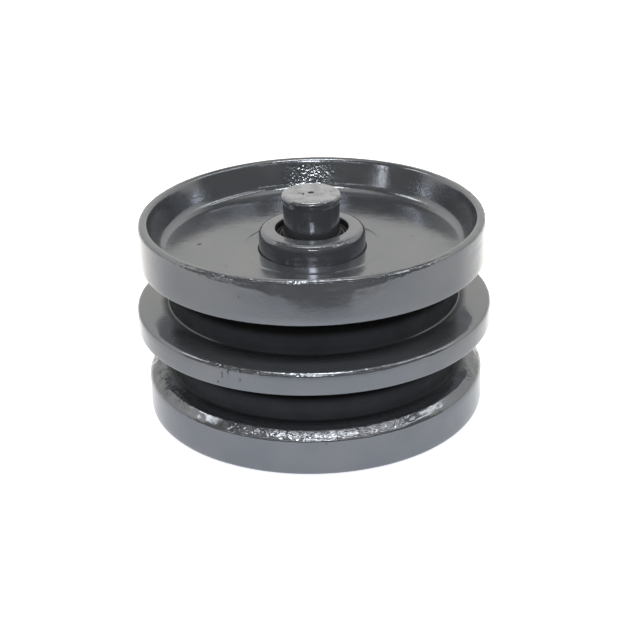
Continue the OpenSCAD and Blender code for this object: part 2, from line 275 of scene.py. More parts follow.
def bump_shape(value, middle, reach):
    """A smooth hump of height 1 around a middle value."""
    return math.exp(-(((value - middle) / reach) ** 2))


def ramp(value, low, high):
    """Rises smoothly from 0 at low to 1 at high."""
    t = min(max((value - low) / (high - low), 0), 1)
    return t * t * (3 - 2 * t)


def band(value, start, full, fading, end):
    """Rises smoothly from 0 at start to 1 at full, and falls from 1 at fading to 0 at end."""
    return ramp(value, start, full) * ramp(value, end, fading)


def uneven(co, *layers):
    """Height of an uneven surface, from layers of (cells per metre, millimetres) noise."""
    return sum(noise.noise(co * cells) * height for cells, height in layers) * MM


def curtain_drop(turn):
    """How far below the lip the hanging paint reaches, in millimetres."""
    for (low_turn, low_drop), (high_turn, high_drop) in zip(CURTAIN, CURTAIN[1:]):
        if turn <= high_turn:
            part = (turn - low_turn) / (high_turn - low_turn)
            return low_drop + part * (high_drop - low_drop)
    return CURTAIN[-1][1]


def paint_curtain(turn, below, sizes):
    """Move of the top rim's surface, away from its even lean, where paint hung from the lip and dried."""
    ragged = 1.2 * noise.noise(Vector((turn * 0.45, 3, 0))) + 0.9 * noise.noise(Vector((turn * 1.1, 5, 0)))
    drop = max(curtain_drop(turn) + ragged, 0.8) * MM
    broken = ramp(noise.noise(Vector((turn * 0.8, 7, 0))), -0.25, 0.35)
    bead = 0.1 * MM * bump_shape(below, drop, 0.6 * MM) * broken
    lean = sizes.top_rim_lean / sizes.top_rim_lean_height
    thin = drop + (4 + 3 * noise.noise(Vector((turn * 0.2, 1, 0)))) * MM * ramp(abs(turn - 8), 28, 10)
    hung = 0.7 * max(drop - below, 0) + 0.3 * max(thin - below, 0)
    return lean * (max(sizes.top_rim_lean_height - below, 0) - hung) + bead


def bar_shape(co, start, end, half_width):
    """A smooth bar of height 1 along a line in the plan."""
    along = end - start
    from_start = Vector((co.x, co.y)) - start
    part = min(max(from_start.dot(along) / along.length_squared, 0), 1)
    return ramp((from_start - part * along).length, half_width, 0.4 * half_width)


def chip_mark(co):
    """The chip in the paint on the shaft's end, a ragged hook."""
    ragged = (1 + 0.5 * noise.noise(co * 900)) * MM
    flake = bar_shape(co, Vector((-6.7, -0.3)) * MM, Vector((-3.8, -0.8)) * MM, 0.6 * ragged)
    tail = bar_shape(co, Vector((-3.8, -0.8)) * MM, Vector((-4.1, -3)) * MM, 0.5 * ragged)
    return max(flake, tail)


def finish_piece(name, bm, body, node, slot, *materials):
    """Makes an object from a bmesh, seats it on its body and in the place of its solid."""
    mesh = bpy.data.meshes.new(name)
    bm.to_mesh(mesh)
    bm.free()
    mesh.set_sharp_from_angle(angle=SHARP)
    for material in materials:
        mesh.materials.append(material)
    piece = bpy.data.objects.new(name, mesh)
    bpy.context.scene.collection.objects.link(piece)
    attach(piece, body)
    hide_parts(node)


# Materials


def start_material(name):
    """A new node material, with its shader."""
    material = bpy.data.materials.new(name)
    material.use_nodes = True
    tree = material.node_tree
    tree.nodes.clear()
    shader = tree.nodes.new("ShaderNodeBsdfPrincipled")
    output = tree.nodes.new("ShaderNodeOutputMaterial")
    tree.links.new(shader.outputs["BSDF"], output.inputs["Surface"])
    return material, tree, shader


def add_place(tree):
    """The place that is shaded, in the object's own coordinates."""
    return tree.nodes.new("ShaderNodeTexCoord").outputs["Object"]


def add_split(tree, source):
    """The X, Y and Z of a vector."""
    node = tree.nodes.new("ShaderNodeSeparateXYZ")
    tree.links.new(source, node.inputs["Vector"])
    return node.outputs


def add_noise(tree, scale, detail=2, roughness=0.5, stretch=None):
    """A noise pattern on object coordinates, with scale in cells per metre."""
    pattern = tree.nodes.new("ShaderNodeTexNoise")
    pattern.inputs["Scale"].default_value = scale
    pattern.inputs["Detail"].default_value = detail
    pattern.inputs["Roughness"].default_value = roughness
    source = add_place(tree)
    if stretch:
        mapping = tree.nodes.new("ShaderNodeMapping")
        mapping.inputs["Scale"].default_value = stretch
        tree.links.new(source, mapping.inputs["Vector"])
        source = mapping.outputs["Vector"]
    tree.links.new(source, pattern.inputs["Vector"])
    return pattern.outputs["Fac"]


def add_range(tree, source, from_low, from_high, to_low, to_high):
    """Maps one range of a value smoothly onto another."""
    node = tree.nodes.new("ShaderNodeMapRange")
    node.interpolation_type = "SMOOTHSTEP"
    node.inputs["From Min"].default_value = from_low
    node.inputs["From Max"].default_value = from_high
    node.inputs["To Min"].default_value = to_low
    node.inputs["To Max"].default_value = to_high
    tree.links.new(source, node.inputs["Value"])
    return node.outputs["Result"]


def add_math(tree, operation, first, second):
    """Joins two values, or a value and a number."""
    node = tree.nodes.new("ShaderNodeMath")
    node.operation = operation
    tree.links.new(first, node.inputs[0])
    if isinstance(second, (int, float)):
        node.inputs[1].default_value = second
    else:
        tree.links.new(second, node.inputs[1])
    return node.outputs["Value"]


def add_mix(tree, share_socket, first, second):
    """Mixes two colours, each a socket or a plain colour."""
    node = tree.nodes.new("ShaderNodeMix")
    node.data_type = "RGBA"
    tree.links.new(share_socket, node.inputs["Factor"])
    for source, socket in ((first, node.inputs[6]), (second, node.inputs[7])):
        if isinstance(source, bpy.types.NodeSocket):
            tree.links.new(source, socket)
        else:
            socket.default_value = (*source, 1)
    return node.outputs[2]


def add_bump(tree, height, distance, under=None):
    """A bump from a height pattern, over another bump if one is given."""
    node = tree.nodes.new("ShaderNodeBump")
    node.inputs["Distance"].default_value = distance
    tree.links.new(height, node.inputs["Height"])
    if under is not None:
        tree.links.new(under, node.inputs["Normal"])
    return node.outputs["Normal"]


def add_attribute(tree, name):
    """A value that the mesh carries at its vertices."""
    node = tree.nodes.new("ShaderNodeAttribute")
    node.attribute_name = name
    return node.outputs["Fac"]


def add_chips(tree, scale, size):
    """Small scattered spots, with scale in cells per metre and size as a share of a cell."""
    cells = tree.nodes.new("ShaderNodeTexVoronoi")
    cells.inputs["Scale"].default_value = scale
    tree.links.new(add_place(tree), cells.inputs["Vector"])
    spot = add_range(tree, cells.outputs["Distance"], size, 0.6 * size, 0, 1)
    chosen = add_range(tree, cells.outputs["Color"], 0.5, 0.55, 0, 1)
    return add_math(tree, "MULTIPLY", spot, chosen)


def enamel_material(look, name):
    """Gloss grey enamel with orange peel, rough cast patches, paler bruises and a painted sheen, and darker
    where shade is painted.
    """
    material, tree, shader = start_material(name)
    grain = add_attribute(tree, "grain")
    bruise_and_sheen = add_attribute(tree, "bruise_and_sheen")
    dull_and_shade = add_attribute(tree, "dull_and_shade")
    soil_and_shade = add_attribute(tree, "soil_and_shade")
    cloud = add_range(tree, add_noise(tree, 45, 3), 0.35, 0.75, 0, 0.6)
    body = add_mix(tree, cloud, look.enamel, look.enamel_pale)
    # Thin matte enamel, and painted shade in the ring's mouth.
    thin = add_mix(tree, dull_and_shade, body, look.enamel_dull_and_shade)
    # Dark specks of dirt, which also fall where shade is painted in the grooves.
    specks = add_math(tree, "MULTIPLY", add_range(tree, add_noise(tree, 800, 1), 0.48, 0.54, 0, 1), soil_and_shade)
    soiled = add_mix(tree, specks, thin, look.dirt)
    chipped = add_mix(tree, add_chips(tree, 90, 0.06), soiled, look.chip)
    # Paler bruises, and a painted sheen on the bevel's front.
    tree.links.new(add_mix(tree, bruise_and_sheen, chipped, look.enamel_bruised_and_sheen), shader.inputs["Base Color"])
    streak = add_range(tree, add_noise(tree, 90, 3, 0.6), 0.3, 0.7, -0.03, 0.04)
    shine = add_math(tree, "ADD", streak, look.enamel_roughness)
    worn = add_math(tree, "ADD", shine, add_math(tree, "MULTIPLY", bruise_and_sheen, 0.2))
    matte = add_math(tree, "ADD", worn, add_math(tree, "MULTIPLY", dull_and_shade, 0.45))
    tree.links.new(matte, shader.inputs["Roughness"])
    waves = add_bump(tree, add_noise(tree, 240), 0.05 * MM)
    peel = add_bump(tree, add_noise(tree, 600, 1, 0.4), 0.03 * MM, waves)
    pits = add_math(tree, "MULTIPLY", add_noise(tree, 1700, 1, 0.5), grain)
    cast = add_bump(tree, pits, 0.06 * MM, peel)
    tree.links.new(cast, shader.inputs["Normal"])
    shader.inputs["Metallic"].default_value = look.enamel_shine
    return material


def groove_material(look):
    """Thin matte enamel at the bottom of the belt grooves, with painted shade darkening it high up under
    the rims.
    """
    material, tree, shader = start_material("groove enamel")
    cloud = add_range(tree, add_noise(tree, 60, 3), 0.3, 0.7, 0, 0.5)
    pale = tuple(1.5 * value for value in look.enamel_dull_and_shade)
    even = add_mix(tree, cloud, look.enamel_dull_and_shade, pale)
    # Painted shade: the groove colour darkens towards black high up under the rims.
    painted_shade_colour = add_mix(tree, add_attribute(tree, "soil_and_shade"), even, look.painted_groove_shade)
    tree.links.new(painted_shade_colour, shader.inputs["Base Color"])
    matte = add_range(tree, add_noise(tree, 400, 2), 0.3, 0.7, 0.55, 0.75)
    tree.links.new(matte, shader.inputs["Roughness"])
    tree.links.new(add_bump(tree, add_noise(tree, 700, 2), 0.05 * MM), shader.inputs["Normal"])
    shader.inputs["Specular IOR Level"].default_value = 0.03
    return material


def steel_material(name, colour, roughness, scale):
    """Turned or ground steel with fine lines around the axis."""
    material, tree, shader = start_material(name)
    lines = add_noise(tree, scale, 2, 0.6, stretch=(0.15, 0.15, 1))
    pale = tuple(min(1, 1.25 * value) for value in colour)
    tree.links.new(add_mix(tree, lines, colour, pale), shader.inputs["Base Color"])
    rubbed = add_range(tree, lines, 0.3, 0.7, roughness - 0.06, roughness + 0.08)
    tree.links.new(rubbed, shader.inputs["Roughness"])
    tree.links.new(add_bump(tree, lines, 0.01 * MM), shader.inputs["Normal"])
    shader.inputs["Metallic"].default_value = 1.0
    return material


def rubber_material(look):
    """Matte black rubber with a fine moulded grain."""
    material, tree, shader = start_material("seal rubber")
    fine = add_noise(tree, 1500, 3)
    dusty = tuple(2.2 * value for value in look.rubber)
    dust = add_mix(tree, add_noise(tree, 120, 3), look.rubber, dusty)
    tree.links.new(dust, shader.inputs["Base Color"])
    tree.links.new(add_range(tree, fine, 0.3, 0.7, 0.38, 0.6), shader.inputs["Roughness"])
    tree.links.new(add_bump(tree, fine, 0.03 * MM), shader.inputs["Normal"])
    return material


# Pieces


def casting_corners(sizes):
    """Corners (radius, height, rounding) of the casting's outline, up the outside and down the inside."""
    box_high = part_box("pulley_body")[1]
    housing_low, housing_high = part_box("bearing_housing")
    cap_low, cap_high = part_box("end_cap")
    middle_radius = box_high.x
    lip = box_high.z
    lower_mouth = sizes.bottom_rim_height
    middle_low = lower_mouth + sizes.groove_width
    middle_high = middle_low + sizes.middle_rim_thickness
    upper_high = middle_high + sizes.groove_width
    groove = sizes.groove_radius
    wall_rise = math.tan(sizes.groove_lean)
    draft = math.tan(sizes.cast_draft)
    bevel_radius = sizes.bottom_rim_radius - sizes.bevel_width
    lip_outer = sizes.top_rim_radius - sizes.top_rim_lean
    lip_inner = lip_outer - sizes.lip_thickness
    lip_round = 0.55 * sizes.lip_thickness
    wall_foot = lip_inner - sizes.recess_wall_depth * math.tan(sizes.recess_lean)
    web_hub = lip - sizes.recess_hub_depth
    face = web_hub + sizes.hub_face_step
    web_under = web_hub - sizes.web_thickness
    flange_under = sizes.bottom_rim_height - sizes.flange_thickness
    back = groove - sizes.groove_back
    foot_inner = sizes.bottom_rim_radius - sizes.foot_width
    bore = housing_high.x
    ledge = cap_high.x
    edge = sizes.edge_rounding
    return [
        (sizes.bottom_rim_radius, 0, sizes.rim_rounding),
        (sizes.bottom_rim_radius, sizes.bottom_rim_height - sizes.bevel_height, sizes.bevel_rounding),
        (bevel_radius, sizes.bottom_rim_height, edge),
        (groove, lower_mouth + wall_rise * (bevel_radius - groove), sizes.groove_fillet),
        (groove, middle_low - wall_rise * (middle_radius - groove), sizes.groove_fillet),
        (middle_radius, middle_low, edge),
        (middle_radius, middle_high, sizes.rim_rounding),
        (groove, middle_high + wall_rise * (middle_radius - groove), sizes.groove_fillet),
        (groove, upper_high - wall_rise * (sizes.top_rim_radius - groove), sizes.groove_fillet),
        (sizes.top_rim_radius, upper_high, edge),
        (sizes.top_rim_radius, lip - sizes.top_rim_lean_height, 0),
        (lip_outer, lip, lip_round),
        (lip_inner, lip, lip_round),
        (wall_foot, lip - sizes.recess_wall_depth, sizes.recess_fillet),
        (sizes.hub_face_radius + sizes.hub_face_slope, web_hub, sizes.hub_face_rounding),
        (sizes.hub_face_radius, face, sizes.hub_face_rounding),
        (bore + sizes.bore_chamfer, face, 0),
        (bore, face - sizes.bore_chamfer, 0),
        (bore, housing_low.z, 0),
        (ledge, housing_low.z, 0),
        (ledge, cap_low.z, 0),
        (sizes.hub_radius, cap_low.z, edge),
        (sizes.hub_radius + draft * (web_under - cap_low.z), web_under, sizes.cast_fillet),
        (back - draft * (web_under - flange_under), web_under, sizes.cast_fillet),
        (back, flange_under, sizes.cast_fillet),
        (foot_inner - draft * flange_under, flange_under, sizes.cast_fillet),
        (foot_inner, 0, edge),
    ]


class CastingSurface:
    """Where the casting is rough, chipped, matte or soiled, where shade and sheen are painted, and how its
    paint hangs.
    """

    # Degrees from the front where the bevel's flat facets end and the far wall's begin
    BEVEL_FACETS_END = 30
    WALL_FACETS_START = 166
    # Degrees from the front where the finer cut of the lip and of the middle rim ends
    LIP_CUT_END = 48
    RIM_CUT_END = 36
    # Degrees from the front where a patch starts to show and where it is full
    BEVEL_SKIN = (31, 22)
    WALL_SKIN = (166, 174)
    FRONT_CHIPS = (48, 30)
    # Degrees from the front of a lesser patch on the far wall
    SIDE_SKIN = 152

    def __init__(self, sizes):
        self.sizes = sizes
        self.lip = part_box("pulley_body")[1].z
        self.lip_inner = sizes.top_rim_radius - sizes.top_rim_lean - sizes.lip_thickness
        self.recess_low = self.lip - sizes.recess_hub_depth - 0.5 * MM
        self.groove = sizes.groove_radius
        self.bevel_high = sizes.bottom_rim_height
        self.bevel_low = sizes.bottom_rim_height - sizes.bevel_height
        self.bevel_radius = sizes.bottom_rim_radius - sizes.bevel_width
        self.middle_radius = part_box("pulley_body")[1].x
        self.middle_high = sizes.bottom_rim_height + sizes.groove_width + sizes.middle_rim_thickness

    def step_at(self, spot):
        """Length of a step along the outline, finer where the surface is rough or shows well."""
        underneath = spot.z < self.lip - 30 * MM and spot.x < self.groove - MM
        if underneath or spot.x < self.sizes.hub_face_radius:
            return 9 * MM
        if spot.z > self.lip - 12 * MM and spot.x > self.sizes.top_rim_radius - 2 * MM:
            return 0.7 * MM
        by_bevel = self.bevel_low - MM < spot.z < self.bevel_high + MM
        on_bevel = by_bevel and spot.x > self.bevel_radius - 2 * MM
        on_wall = spot.z > self.lip - 16 * MM and spot.x < self.sizes.top_rim_radius - 4 * MM
        return 1.2 * MM if on_bevel or on_wall else 3.5 * MM

    def is_cast(self, spot):
        """Whether a spot lies where the coarse cast skin shows, on the bevel or the recess wall."""
        turn = abs(turn_of(spot))
        radius = radius_of(spot)
        if spot.z < self.bevel_high:
            on_bevel = spot.z > self.bevel_low and radius > self.bevel_radius - 0.5 * MM
            return on_bevel and turn < self.BEVEL_FACETS_END
        by_wall = self.lip_inner - 7.2 * MM < radius < self.lip_inner - 0.2 * MM
        on_wall = by_wall and self.lip - 15 * MM < spot.z < self.lip - 3.5 * MM
        return on_wall and turn > self.WALL_FACETS_START

    def is_rough(self, spot):
        """Whether a spot lies in a patch that is cut finer for its skin, chips or drips."""
        turn = turn_of(spot)
        radius = radius_of(spot)
        if spot.z > self.recess_low and radius > self.lip_inner + 1.8 * MM:
            return spot.z > self.lip - 3.2 * MM and abs(turn) < self.LIP_CUT_END
        if abs(spot.z - self.middle_high) < 2 * MM:
            return radius > self.middle_radius - 2.9 * MM and abs(turn) < self.RIM_CUT_END
        if self.middle_high - 10 * MM < spot.z < self.middle_high:
            return radius > self.middle_radius - 1.4 * MM and min(DRIPS) - 2 < turn < max(DRIPS) + 2
        by_web_chip = spot.z > self.recess_low and (spot.xy - WEB_CHIP).length < 2.5 * MM
        return by_web_chip or self.is_cast(spot)

    def is_hidden(self, co, radius):
        """Whether a point lies in the hub or the hollow underside, which stay even."""
        underneath = co.z < self.lip - 40 * MM and radius < self.groove - MM
        return underneath or radius < self.sizes.hub_face_radius - MM

    def bevel_share(self, co, radius):
        """How far a point belongs to the rough bevel, from 0 to 1."""
        low, high = self.bevel_low, self.bevel_high
        level = band(co.z, low - 0.5 * MM, low + 0.6 * MM, high + 0.2 * MM, high + 1.2 * MM)
        return level * ramp(radius, self.bevel_radius - 2.5 * MM, self.bevel_radius)

    def wall_share(self, co, radius):
        """How far a point belongs to the wall of the recess, from 0 to 1."""
        level = band(self.lip - co.z, 2.5 * MM, 5 * MM, 14 * MM, 18 * MM)
        return level * band(radius - self.lip_inner, -10.2 * MM, -7.2 * MM, -1.2 * MM, 0.8 * MM)

    def drip_share(self, co, turn, radius):
        """How far a point belongs to a drip on the middle rim, from 0 to 1."""
        if co.z >= self.middle_high or radius <= self.middle_radius - 1.4 * MM:
            return 0
        run = ramp(co.z, self.middle_high - 8 * MM, self.middle_high - 5 * MM)
        return run * sum(bump_shape(turn, place, 0.35) for place in DRIPS)

    def swell(self, co, radius):
        """Broad unevenness of the casting, which fades out towards the machined face."""
        face = self.sizes.hub_face_radius
        return (uneven(co, (38, 0.07), (120, 0.03)) - 0.12 * MM) * ramp(radius, face - MM, face + 20 * MM)

    def edge_wave(self, co, normal, turn, radius):
        """Unevenness of the rims' upper edges, whose paint is broken in places at the front."""
        edge = band(normal.z, 0.1, 0.5, 0.85, 0.98)
        edge *= ramp(radius, self.lip_inner - 1.2 * MM, self.lip_inner + 1.8 * MM)
        chips = min(1, 0.12 + sum(bump_shape(turn, place, reach) for place, reach in EDGE_CHIPS))
        chips *= ramp(abs(turn), *self.FRONT_CHIPS)
        return edge * (uneven(co, (230, 0.12), (620, 0.05)) + chips * uneven(co, (900, 0.26), (1700, 0.12)))

    def hanging_paint(self, co, turn, radius):
        """Outward move of the top rim's side, where paint hung from the lip and ran in streaks."""
        below = self.lip - co.z
        if below >= 16 * MM:
            return 0
        streak = noise.noise(Vector((turn * 0.11, co.z * 420, 2))) * 0.12 * MM
        streak *= band(below, 2 * MM, 5 * MM, 11 * MM, 15 * MM)
        patchy = ramp(noise.noise(Vector((turn * 0.07, co.z * 90, 9))), -0.1, 0.3)
        on_side = ramp(radius, self.lip_inner + 1.3 * MM, self.lip_inner + 3.3 * MM)
        return on_side * (paint_curtain(turn, below, self.sizes) + streak * patchy)

    def dullness(self, co, normal, turn, radius):
        """How thin and dark the enamel is: thin at the foot of the groove walls, and dark in the chip of
        the web.
        """
        if co.z > self.recess_low:
            return ramp((co.xy - WEB_CHIP).length, 1.3 * MM, 0.6 * MM)
        thin = band(radius - self.groove, -2 * MM, -MM, MM, 4.5 * MM)
        if co.z > self.middle_high:
            thin *= 1 - 0.8 * bump_shape(normal.z, 0.6, 0.25) * ramp(abs(turn), 32, 45)
        return thin

    def dirt(self, co, normal, turn, radius):
        """How dark the surface is marked: painted shade high up in the grooves under the rims, and dirt
        specks at the sides of the bevel.
        """
        # Painted shade high up in each groove, close under the rim above it.
        if radius < self.groove + 2 * MM and normal.z < 0.5:
            lower_groove = band(co.z, 32 * MM, 37 * MM, 48 * MM, 50 * MM)
            upper_groove = ramp(co.z, 68 * MM, 73.5 * MM)
            return max(lower_groove, upper_groove)
        low, high = self.bevel_low, self.bevel_high
        ledge = band(co.z, low, high, high + 1.2 * MM, high + 3.2 * MM)
        sides = min(1, bump_shape(turn, -72, 22) + 0.6 * bump_shape(turn, 70, 12))
        return ledge * sides * ramp(noise.noise(co * 120), -0.3, 0.2)

    def mark_faces(self, bm):
        """Gives the groove bottoms their own material, and the coarse skin flat facets."""
        for face in bm.faces:
            middle = face.calc_center_median()
            outward = face.normal.x * middle.x + face.normal.y * middle.y > 0
            in_groove = abs(radius_of(middle) - self.groove) < 0.6 * MM
            face.material_index = 1 if outward and in_groove else 0
            face.smooth = not self.is_cast(middle)

    def shape(self, bm):
        """Moves the vertices by the unevenness of the casting and its paint, and notes how they look."""
        names = ("bruise_and_sheen", "grain", "dull_and_shade", "soil_and_shade")
        bruise_and_sheen, grain, dull_and_shade, soil_and_shade = (bm.verts.layers.float.new(name) for name in names)
        for vert in bm.verts:
            co = vert.co
            normal = vert.normal
            radius = radius_of(co)
            turn = turn_of(co)
            if self.is_hidden(co, radius):
                continue
            bevel = self.bevel_share(co, radius)
            wall = self.wall_share(co, radius)
            drip = self.drip_share(co, turn, radius)
            front = ramp(abs(turn), *self.BEVEL_SKIN)
            far = ramp(abs(turn), *self.WALL_SKIN) + 0.5 * ramp(abs(turn - self.SIDE_SKIN), 8, 3)
            patch = ramp(noise.noise(co * 55 + Vector((4.2, 0, 0))), 0, 0.4)
            # Painted sheen: the bevel's front is made paler where light glints off it.
            vert[bruise_and_sheen] = 0.35 * front * bevel
            vert[grain] = min(1, bevel * max(0.25 + 0.4 * patch, front) + wall * (0.15 + far))
            vert[dull_and_shade] = self.dullness(co, normal, turn, radius)
            # Painted shade in the grooves, with dirt specks on the bevel and on the drips.
            vert[soil_and_shade] = max(self.dirt(co, normal, turn, radius), 0.8 * drip)
            skin = (uneven(co, (700, 0.08), (1700, 0.16)) - 0.1 * MM) * min(1, front * bevel + far * wall)
            pit = (0.3 * abs(noise.noise(co * 420)) + 0.25 * abs(noise.noise(co * 160))) * MM * bevel
            wave = self.swell(co, radius) + self.edge_wave(co, normal, turn, radius) + skin - pit
            hung = self.hanging_paint(co, turn, radius) + 0.14 * MM * drip
            outside = Vector((co.x, co.y, 0)).normalized()
            vert.co += normal * wave + outside * hung


class PULLEY_OT_casting(bpy.types.Operator):
    """Make the painted casting with its rims, grooves and dished face"""

    bl_idname = "pulley.casting"
    bl_label = "Casting"

    def execute(self, context):
        sizes = context.scene.pulley_casting
        look = context.scene.pulley_paint
        surface = CastingSurface(sizes)
        bm = turned(casting_corners(sizes), sizes.turn_steps, surface.step_at)
        cut_finer(bm, surface.is_rough)
        bm.normal_update()
        surface.mark_faces(bm)
        surface.shape(bm)
        enamel = enamel_material(look, "cast enamel")
        groove = groove_material(look)
        finish_piece("pulley_casting", bm, "pulley", "pulley_body", "grey_enamel", enamel, groove)
        return {"FINISHED"}


class PULLEY_OT_ring(bpy.types.Operator):
    """Make the painted bearing housing, whose top is the ring around the shaft"""

    bl_idname = "pulley.ring"
    bl_label = "Bearing housing"

    def execute(self, context):
        sizes = context.scene.pulley_shaft
        look = context.scene.pulley_paint
        low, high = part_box("bearing_housing")
        bearing_top = high.z - sizes.mouth_depth
        bearing_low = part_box("lower_outer_race")[0].z
        clip_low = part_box("housing_circlip")[0].z
        clip_radius = sizes.bearing_radius + sizes.clip_groove_depth
        corners = [
            (sizes.bearing_radius, low.z, 0),
            (high.x, low.z, 0),
            (high.x, high.z, sizes.ring_shoulder),
            (sizes.mouth_radius, high.z, MM),
            (sizes.mouth_radius, bearing_top, 0),
            (sizes.bearing_radius, bearing_top, 0),
            (sizes.bearing_radius, bearing_low, 0),
            (clip_radius, bearing_low, 0),
            (clip_radius, clip_low, 0),
            (sizes.bearing_radius, clip_low, 0),
        ]
        bm = turned(corners, steps=260, step_at=lambda spot: 0.9 * MM if spot.z > bearing_top else 9 * MM)
        cut_finer(bm, lambda spot: spot.z > high.z - 4 * MM and abs(turn_of(spot)) < 60)
        bruise_and_sheen = bm.verts.layers.float.new("bruise_and_sheen")
        dull_and_shade = bm.verts.layers.float.new("dull_and_shade")
        bm.normal_update()
        for vert in bm.verts:
            co = vert.co
            shown = ramp(co.z, bearing_top, bearing_top + 2 * MM)
            vert[bruise_and_sheen] = shown * ramp(vert.normal.z, 0.9, 0.99) * (0.13 + 0.1 * noise.noise(co * 150))
            shoulder = band(vert.normal.z, 0.15, 0.5, 0.9, 0.99)
            ridge = uneven(co, (240, 0.1), (700, 0.06), (1200, 0.06))
            wave = uneven(co, (60, 0.05)) - 0.1 * MM
            # Painted shade: the mouth's inner wall takes the dark matte colour, where the gap to the shaft
            # lies in shadow.
            vert[dull_and_shade] = ramp(radius_of(co), sizes.mouth_radius + 0.8 * MM, sizes.mouth_radius + 0.2 * MM)
            vert.co += vert.normal * shown * (wave + shoulder * ridge)
        enamel = enamel_material(look, "ring enamel")
        finish_piece("bearing_ring", bm, "pulley", "bearing_housing", "grey_enamel", enamel)
        return {"FINISHED"}


class PULLEY_OT_shaft(bpy.types.Operator):
    """Make the painted stub shaft with its hammered end and centre mark"""

    bl_idname = "pulley.shaft"
    bl_label = "Stub shaft"

    def execute(self, context):
        sizes = context.scene.pulley_shaft
        look = context.scene.pulley_paint
        low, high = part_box("shaft")
        ring_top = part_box("bearing_housing")[1].z
        bearing_top = ring_top - sizes.mouth_depth
        clip_low, clip_high = (corner.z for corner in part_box("shaft_circlip"))
        groove = sizes.seat_radius - sizes.clip_groove_depth
        collar_top = bearing_top + sizes.collar_height
        burr_low = high.z - sizes.burr_height
        taper = 0.3 * MM
        corners = [
            (0, low.z, 0),
            (groove, low.z, 0),
            (sizes.seat_radius, low.z + sizes.clip_groove_depth, 0),
            (sizes.seat_radius, clip_low, 0),
            (groove, clip_low, 0),
            (groove, clip_high, 0),
            (sizes.seat_radius, clip_high, 0),
            (sizes.seat_radius, bearing_top, 0),
            (sizes.collar_radius, bearing_top, 0),
            (sizes.collar_radius, collar_top, 0.8 * MM),
            (sizes.shaft_radius - taper, collar_top, 0),
            (sizes.shaft_radius, burr_low, 4 * MM),
            (sizes.burr_radius, high.z - 2 * MM, 1.2 * MM),
            (sizes.burr_radius - MM, high.z - 0.3 * MM, MM),
            (sizes.mark_radius, high.z, 0.3 * MM),
            (0, high.z - sizes.mark_radius, 0),
        ]

        def step_at(spot):
            """Finer steps on the end face, which carries a chip."""
            if spot.z < ring_top:
                return 9 * MM
            return 0.3 * MM if spot.z > high.z - 0.4 * MM and spot.x < 9 * MM else 0.8 * MM

        bm = turned(corners, steps=200, step_at=step_at, closed=False)
        bruise_and_sheen = bm.verts.layers.float.new("bruise_and_sheen")
        dull_and_shade = bm.verts.layers.float.new("dull_and_shade")
        bm.normal_update()
        for vert in bm.verts:
            co = vert.co
            shown = ramp(co.z, ring_top, ring_top + 2 * MM)
            radius = radius_of(co)
            end = ramp(co.z, high.z - 3 * MM, high.z - 1.2 * MM)
            dent = uneven(co, (300, 0.16)) * end * ramp(radius, 11 * MM, 15 * MM)
            wave = uneven(co, (80, 0.03)) - 0.1 * MM
            mottle = 0.7 + 0.8 * noise.noise(co * 180) + 0.5 * noise.noise(co * 600)
            hammered = ramp(co.z, high.z - 1.1 * MM, high.z - 0.4 * MM) * min(1, max(0.2, mottle))
            chip = chip_mark(co) if co.z > high.z - MM else 0
            mark = ramp(radius, sizes.mark_radius + 0.3 * MM, sizes.mark_radius - 0.2 * MM) * end
            # Painted shade: the shaft darkens below the ring's top, down in the mouth's shadow.
            painted_mouth_shade = ramp(co.z, ring_top - 1.5 * MM, ring_top - 2 * MM)
            vert[dull_and_shade] = max(painted_mouth_shade, chip, mark)
            vert[bruise_and_sheen] = hammered * (1 - max(chip, mark))
            vert.co += vert.normal * (shown * (wave + dent) - 0.05 * MM * end - 0.25 * MM * chip)
        enamel = enamel_material(look, "shaft enamel")
        finish_piece("stub_shaft", bm, "axle", "shaft", "grey_enamel", enamel)
        return {"FINISHED"}


class PULLEY_OT_seal(bpy.types.Operator):
    """Make the rubber seal in the ring's mouth"""

    bl_idname = "pulley.seal"
    bl_label = "Dust seal"

    def execute(self, context):
        sizes = context.scene.pulley_shaft
        look = context.scene.pulley_paint
        low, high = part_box("dust_seal")
        clearance = 0.25 * MM
        inner = sizes.collar_radius + clearance
        wall = sizes.seal_wall
        floor = low.z + wall
        corner_rounding = 0.2 * MM
        lip_rounding = 0.3 * MM
        corners = [
            (inner, low.z, corner_rounding),
            (high.x, low.z, corner_rounding),
            (high.x, high.z, lip_rounding),
            (high.x - wall, high.z, lip_rounding),
            (high.x - wall, floor, corner_rounding),
            (inner + wall, floor, corner_rounding),
            (inner + wall, high.z, lip_rounding),
            (inner, high.z, lip_rounding),
        ]
        bm = turned(corners, steps=160, step_at=lambda spot: 2 * MM)
        finish_piece("mouth_seal", bm, "pulley", "dust_seal", "seal_rubber", rubber_material(look))
        return {"FINISHED"}


class PULLEY_OT_cap(bpy.types.Operator):
    """Make the pressed cap that closes the hub from below"""

    bl_idname = "pulley.cap"
    bl_label = "End cap"

    def execute(self, context):
        sizes = context.scene.pulley_shaft
        look = context.scene.pulley_paint
        low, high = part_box("end_cap")
        sheet = sizes.cap_sheet
        dish = 0.55 * high.x
        dish_depth = 0.5 * MM
        dish_slope = 2 * MM
        inside = low.z + sheet
        corners = [
            (0, low.z + dish_depth, 0),
            (dish, low.z + dish_depth, dish_slope),
            (dish + dish_slope, low.z, dish_slope),
            (high.x, low.z, sheet),
            (high.x, high.z, 0.2 * MM),
            (high.x - sheet, high.z, 0.2 * MM),
            (high.x - sheet, inside, 0.5 * MM),
            (dish + dish_slope, inside, dish_slope),
            (dish, inside + dish_depth, dish_slope),
            (0, inside + dish_depth, 0),
        ]
        bm = turned(corners, steps=160, step_at=lambda spot: 3 * MM, closed=False)
        enamel = enamel_material(look, "cap enamel")
        finish_piece("hub_cap", bm, "pulley", "end_cap", "grey_enamel", enamel)
        return {"FINISHED"}


